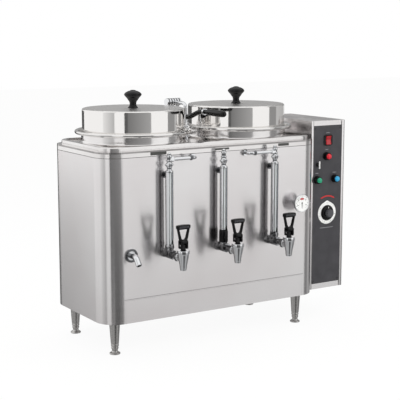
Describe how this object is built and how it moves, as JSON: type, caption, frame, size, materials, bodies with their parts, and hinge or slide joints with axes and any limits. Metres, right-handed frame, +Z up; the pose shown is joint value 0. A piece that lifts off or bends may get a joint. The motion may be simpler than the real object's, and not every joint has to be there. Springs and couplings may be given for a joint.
{
  "type": "twin coffee urn",
  "caption": "Free-standing twin coffee urn of brushed steel on tapered legs, with lidded wells, gauge glasses, front faucets and a side control box.",
  "frame": {"origin": "middle of the whole footprint, on the floor under the feet", "axes": "+X to the right along the urn towards the control box, +Y to the back, +Z up"},
  "size_m": [0.8496, 0.4782, 0.719],
  "materials": {
    "brushed_jacket": "fine vertical brushing",
    "polished_deck": "bright satin",
    "liner_steel": "spun satin",
    "polished_lid": "mirror wall, brushed top",
    "tank_steel": "mill finish",
    "element_sheath": "dull",
    "chrome": "mirror",
    "brass": "machined",
    "leg_steel": "satin",
    "black_plastic": "moulded gloss",
    "black_panel": "satin black",
    "pump_paint": "semi-gloss",
    "red_plastic": "moulded gloss",
    "green_plastic": "moulded gloss",
    "blue_plastic": "moulded gloss",
    "dial_white": "printed card behind a lens",
    "gauge_glass": "clear"
  },
  "bodies": {
    "urn": {"access_panel": "brushed_jacket", "base_pan": "brushed_jacket", "brew_pump": "pump_paint", "centre_faucet": "chrome", "centre_gauge_tee": "chrome", "conduit_gland": "chrome", "control_box": "brushed_jacket", "control_panel": "black_panel", "cover_screws": "chrome", "drain_spout": "chrome", "gauge_brackets": "chrome", "gauge_caps": "chrome", "gauge_glasses": "gauge_glass", "gauge_shields": "chrome", "heater_bundle": "element_sheath", "jacket": "brushed_jacket", "left_air_line": "chrome", "left_faucet": "chrome", "left_gauge_tee": "chrome", "left_liner": "liner_steel", "leg_feet": "leg_steel", "leg_front_left": "leg_steel", "leg_front_right": "leg_steel", "leg_rear_left": "leg_steel", "leg_rear_right": "leg_steel", "level_probe": "element_sheath", "rear_cover": "brushed_jacket", "right_air_line": "chrome", "right_faucet": "chrome", "right_gauge_tee": "chrome", "right_liner": "liner_steel", "shank_nuts": "chrome", "spray_riser": "chrome", "switch_bodies": "black_plastic", "thermometer_case": "chrome", "thermometer_dial": "dial_white", "timer_motor": "black_plastic", "top_deck": "polished_deck", "water_inlet": "brass", "water_tank": "tank_steel"},
    "blue_start": {"blue_button": "blue_plastic"},
    "centre_handle": {"centre_faucet_handle": "black_plastic"},
    "centre_stem": {"centre_faucet_stem": "chrome"},
    "green_start": {"green_button": "green_plastic"},
    "left_basket": {"left_basket": "liner_steel"},
    "left_handle": {"left_faucet_handle": "black_plastic"},
    "left_stem": {"left_faucet_stem": "chrome"},
    "left_cover": {"left_lid": "polished_lid", "left_lid_knob": "black_plastic"},
    "toggle": {"mode_toggle": "chrome"},
    "rocker": {"power_rocker": "red_plastic"},
    "red_start": {"red_button": "red_plastic"},
    "right_basket": {"right_basket": "liner_steel"},
    "right_handle": {"right_faucet_handle": "black_plastic"},
    "right_stem": {"right_faucet_stem": "chrome"},
    "right_cover": {"right_lid": "polished_lid", "right_lid_knob": "black_plastic"},
    "spray": {"spray_arm": "chrome", "spray_grip": "black_plastic"},
    "timer": {"timer_knob": "black_plastic"}
  },
  "joints": [
    {"name": "left_basket_lift", "type": "slide", "parent": "urn", "child": "left_basket", "axis": [0, 0, 1], "range_m": [0, 0.15]},
    {"name": "left_lid_lift", "type": "slide", "parent": "left_basket", "child": "left_cover", "axis": [0, 0, 1], "range_m": [0, 0.08]},
    {"name": "right_basket_lift", "type": "slide", "parent": "urn", "child": "right_basket", "axis": [0, 0, 1], "range_m": [0, 0.15]},
    {"name": "right_lid_lift", "type": "slide", "parent": "right_basket", "child": "right_cover", "axis": [0, 0, 1], "range_m": [0, 0.08]},
    {"name": "left_handle_tilt", "type": "hinge", "parent": "urn", "child": "left_handle", "pos_m": [-0.23975, -0.2219, 0.3165], "axis": [1, 0, 0], "range_deg": [0, 30], "stiffness_Nm_per_rad": 0.5, "springref_deg": -17.19},
    {"name": "left_stem_lift", "type": "slide", "parent": "urn", "child": "left_stem", "axis": [0, 0, 1], "range_m": [0, 0.0041]},
    {"name": "centre_handle_tilt", "type": "hinge", "parent": "urn", "child": "centre_handle", "pos_m": [-0.06325, -0.2219, 0.3165], "axis": [1, 0, 0], "range_deg": [0, 30], "stiffness_Nm_per_rad": 0.5, "springref_deg": -17.19},
    {"name": "centre_stem_lift", "type": "slide", "parent": "urn", "child": "centre_stem", "axis": [0, 0, 1], "range_m": [0, 0.0041]},
    {"name": "right_handle_tilt", "type": "hinge", "parent": "urn", "child": "right_handle", "pos_m": [0.11325, -0.2219, 0.3165], "axis": [1, 0, 0], "range_deg": [0, 30], "stiffness_Nm_per_rad": 0.5, "springref_deg": -17.19},
    {"name": "right_stem_lift", "type": "slide", "parent": "urn", "child": "right_stem", "axis": [0, 0, 1], "range_m": [0, 0.0041]},
    {"name": "rocker_tilt", "type": "hinge", "parent": "urn", "child": "rocker", "pos_m": [0.36125, -0.0804, 0.5545], "axis": [1, 0, 0], "range_deg": [-8, 8]},
    {"name": "red_press", "type": "slide", "parent": "urn", "child": "red_start", "axis": [0, 1, 0], "range_m": [0, 0.0035], "stiffness_N_per_m": 300, "springref_m": -0.002},
    {"name": "green_press", "type": "slide", "parent": "urn", "child": "green_start", "axis": [0, 1, 0], "range_m": [0, 0.0035], "stiffness_N_per_m": 300, "springref_m": -0.002},
    {"name": "blue_press", "type": "slide", "parent": "urn", "child": "blue_start", "axis": [0, 1, 0], "range_m": [0, 0.0035], "stiffness_N_per_m": 300, "springref_m": -0.002},
    {"name": "toggle_flip", "type": "hinge", "parent": "urn", "child": "toggle", "pos_m": [0.32375, -0.0794, 0.481], "axis": [1, 0, 0], "range_deg": [-11, 11]},
    {"name": "timer_turn", "type": "hinge", "parent": "urn", "child": "timer", "pos_m": [0.36225, -0.0824, 0.33], "axis": [0, 1, 0], "range_deg": [0, 300]},
    {"name": "spray_swing", "type": "hinge", "parent": "urn", "child": "spray", "pos_m": [-0.06325, 0.0546, 0.63], "axis": [0, 0, 1], "range_deg": [-15, 15]}
  ],
  "couplings": [
    {"joint": "left_stem_lift", "follows": "left_handle_tilt", "m_per_rad": 0.00764},
    {"joint": "centre_stem_lift", "follows": "centre_handle_tilt", "m_per_rad": 0.00764},
    {"joint": "right_stem_lift", "follows": "right_handle_tilt", "m_per_rad": 0.00764}
  ]
}
